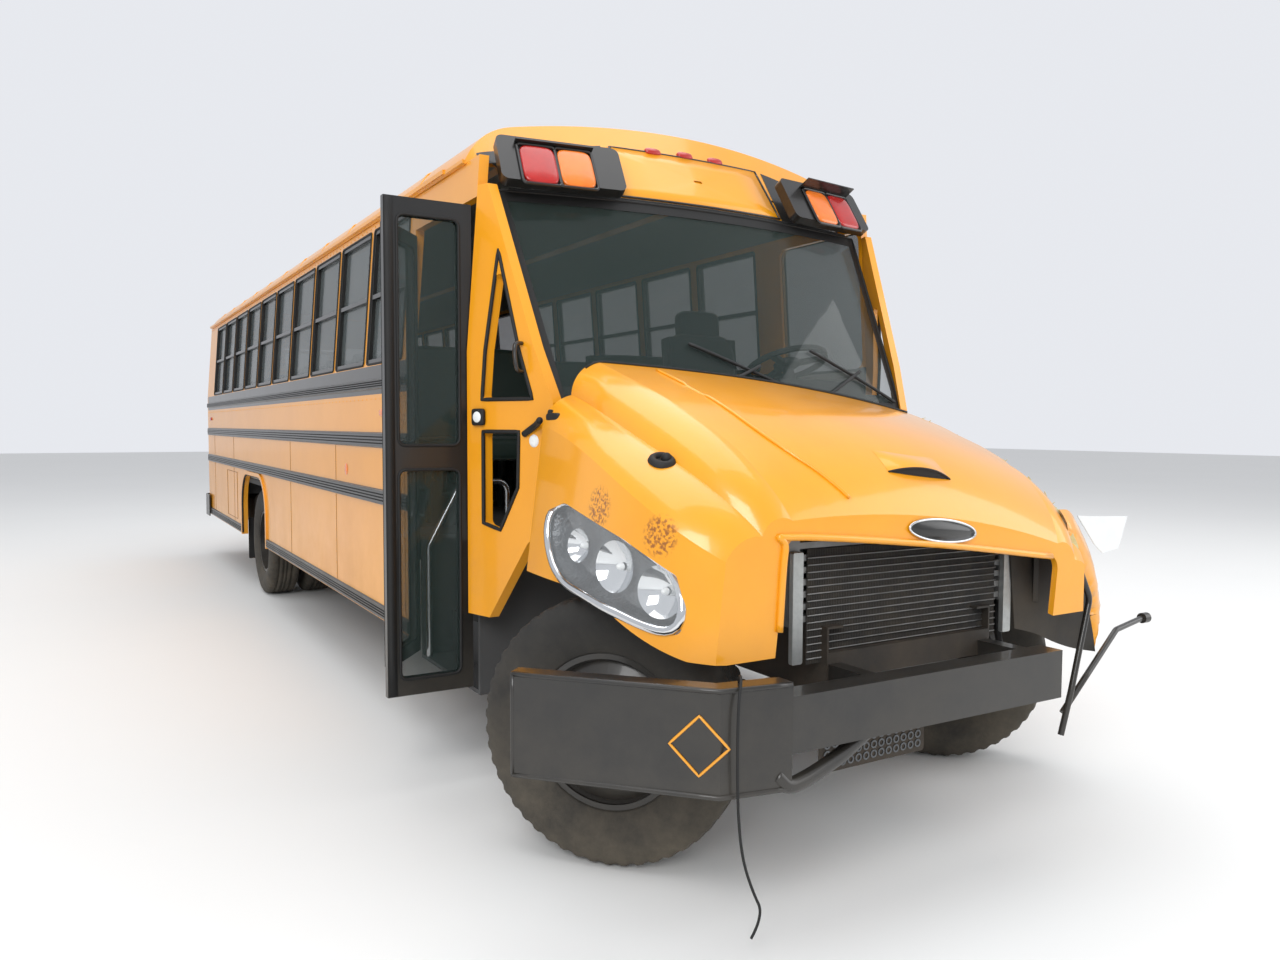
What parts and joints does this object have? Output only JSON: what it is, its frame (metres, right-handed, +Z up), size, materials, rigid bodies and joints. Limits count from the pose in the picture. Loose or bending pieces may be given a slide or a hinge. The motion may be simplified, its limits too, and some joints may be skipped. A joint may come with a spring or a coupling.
{
  "type": "school bus",
  "caption": "School bus with its engine in front: tilting hood, folding entry door, emergency door, stop arm and steered front wheels; the front left corner is torn off.",
  "frame": {"origin": "middle of the whole part's box, on the ground the tyres stand on", "axes": "+Y to the rear along the bus, -Y is its front, +X is the bus's left, +Z up"},
  "size_m": [3.185, 11.08, 3.167],
  "materials": {
    "yellow_paint": "gloss",
    "black_paint": "satin",
    "chassis_black": "satin",
    "engine_iron": "rough",
    "core_aluminium": "dull",
    "bare_aluminium": "satin",
    "spring_steel": "rough",
    "exhaust_steel": "dull",
    "floor_rubber": "matt",
    "seat_cover": "matt",
    "driver_cover": "matt",
    "dash_plastic": "matt",
    "wheel_plastic": "satin",
    "hood_plastic": "gloss",
    "liner_plastic": "matt",
    "bumper_steel": "gloss",
    "clear_glass": "polished",
    "tinted_glass": "polished",
    "red_lens": "polished",
    "amber_lens": "polished",
    "headlamp_lens": "polished",
    "rail_steel": "polished",
    "stop_red": "gloss",
    "tyre_rubber": "matt",
    "rim_paint": "gloss"
  },
  "bodies": {
    "bus": {"chassis_frame": "chassis_black", "radiator": "core_aluminium", "front_axle": "chassis_black", "rear_axle": "chassis_black", "power_train": "engine_iron", "engine_mounts": "chassis_black", "leaf_springs": "spring_steel", "fuel_tank": "chassis_black", "exhaust": "exhaust_steel", "floor": "floor_rubber", "stepwell": "floor_rubber", "side_wall_right": "yellow_paint", "side_wall_left": "yellow_paint", "roof": "yellow_paint", "rear_wall": "yellow_paint", "front_cap": "yellow_paint", "lamp_housings": "black_paint", "cowl": "yellow_paint", "windshield": "clear_glass", "body_glass": "tinted_glass", "window_sashes": "black_paint", "rub_rails": "black_paint", "bench_seats": "seat_cover", "driver_seat": "driver_cover", "steering_wheel": "wheel_plastic", "dashboard": "dash_plastic", "handrail": "rail_steel", "front_bumper": "bumper_steel", "rear_bumper": "bumper_steel", "red_lamps": "red_lens", "amber_lamps": "amber_lens", "roof_hatches": "black_paint", "stop_bracket": "black_paint"},
    "hood": {"hood": "hood_plastic", "headlamp": "headlamp_lens", "hood_liner": "liner_plastic", "mirror_arm": "black_paint"},
    "knuckle_left": {"knuckle_left": "chassis_black"},
    "knuckle_right": {"knuckle_right": "chassis_black"},
    "tie_rod": {"tie_rod": "chassis_black"},
    "wheel_front_left": {"tyre_front_left": "tyre_rubber", "rim_front_left": "rim_paint"},
    "wheel_front_right": {"tyre_front_right": "tyre_rubber", "rim_front_right": "rim_paint"},
    "wheel_rear_left": {"tyres_rear_left": "tyre_rubber", "rims_rear_left": "rim_paint"},
    "wheel_rear_right": {"tyres_rear_right": "tyre_rubber", "rims_rear_right": "rim_paint"},
    "door_front": {"door_leaf_front": "black_paint", "door_glass_front": "clear_glass"},
    "door_rear": {"door_leaf_rear": "black_paint", "door_glass_rear": "clear_glass"},
    "rear_door": {"rear_door": "yellow_paint", "rear_door_glass": "tinted_glass"},
    "stop_arm": {"stop_arm": "stop_red"}
  },
  "joints": [
    {"name": "steer_left", "type": "hinge", "parent": "bus", "child": "knuckle_left", "pos_m": [0.8525, -4.555, 0.505], "axis": [0, 0, 1], "range_deg": [-85, 5]},
    {"name": "steer_right", "type": "hinge", "parent": "bus", "child": "knuckle_right", "pos_m": [-0.8675, -4.555, 0.505], "axis": [0, 0, 1], "range_deg": [-85, 5]},
    {"name": "tie_rod_pivot", "type": "hinge", "parent": "knuckle_left", "child": "tie_rod", "pos_m": [0.71109, -4.38647, 0.393], "axis": [0, 0, 1], "range_deg": [-5, 85]},
    {"name": "front_left_wheel", "type": "hinge", "parent": "knuckle_left", "child": "wheel_front_left", "pos_m": [0.8525, -4.555, 0.505], "axis": [0.766, 0.6428, 0], "continuous": true},
    {"name": "front_right_wheel", "type": "hinge", "parent": "knuckle_right", "child": "wheel_front_right", "pos_m": [-0.8675, -4.555, 0.505], "axis": [-0.766, -0.6428, 0], "continuous": true},
    {"name": "rear_left_wheels", "type": "hinge", "parent": "bus", "child": "wheel_rear_left", "pos_m": [0.8425, 2.024, 0.505], "axis": [1, 0, 0], "continuous": true},
    {"name": "rear_right_wheels", "type": "hinge", "parent": "bus", "child": "wheel_rear_right", "pos_m": [-0.8575, 2.024, 0.505], "axis": [1, 0, 0], "continuous": true},
    {"name": "hood_tilt", "type": "hinge", "parent": "bus", "child": "hood", "pos_m": [-0.0075, -5.395, 0.9], "axis": [1, 0, 0], "range_deg": [0, 75]},
    {"name": "door_front_fold", "type": "hinge", "parent": "bus", "child": "door_front", "pos_m": [-1.1925, -3.69, 0.45], "axis": [0, 0, 1], "range_deg": [-90, 0]},
    {"name": "door_rear_fold", "type": "hinge", "parent": "bus", "child": "door_rear", "pos_m": [-1.1925, -2.879, 0.45], "axis": [0, 0, 1], "range_deg": [-52, 38]},
    {"name": "rear_door_swing", "type": "hinge", "parent": "bus", "child": "rear_door", "pos_m": [-0.3875, 5.45, 1.11], "axis": [0, 0, 1], "range_deg": [0, 110]},
    {"name": "stop_arm_swing", "type": "hinge", "parent": "bus", "child": "stop_arm", "pos_m": [1.2545, -3.33, 1.7], "axis": [0, 0, 1], "range_deg": [-90, 0]}
  ],
  "couplings": [
    {"joint": "steer_right", "follows": "steer_left", "ratio": 1},
    {"joint": "tie_rod_pivot", "follows": "steer_left", "ratio": -1}
  ]
}
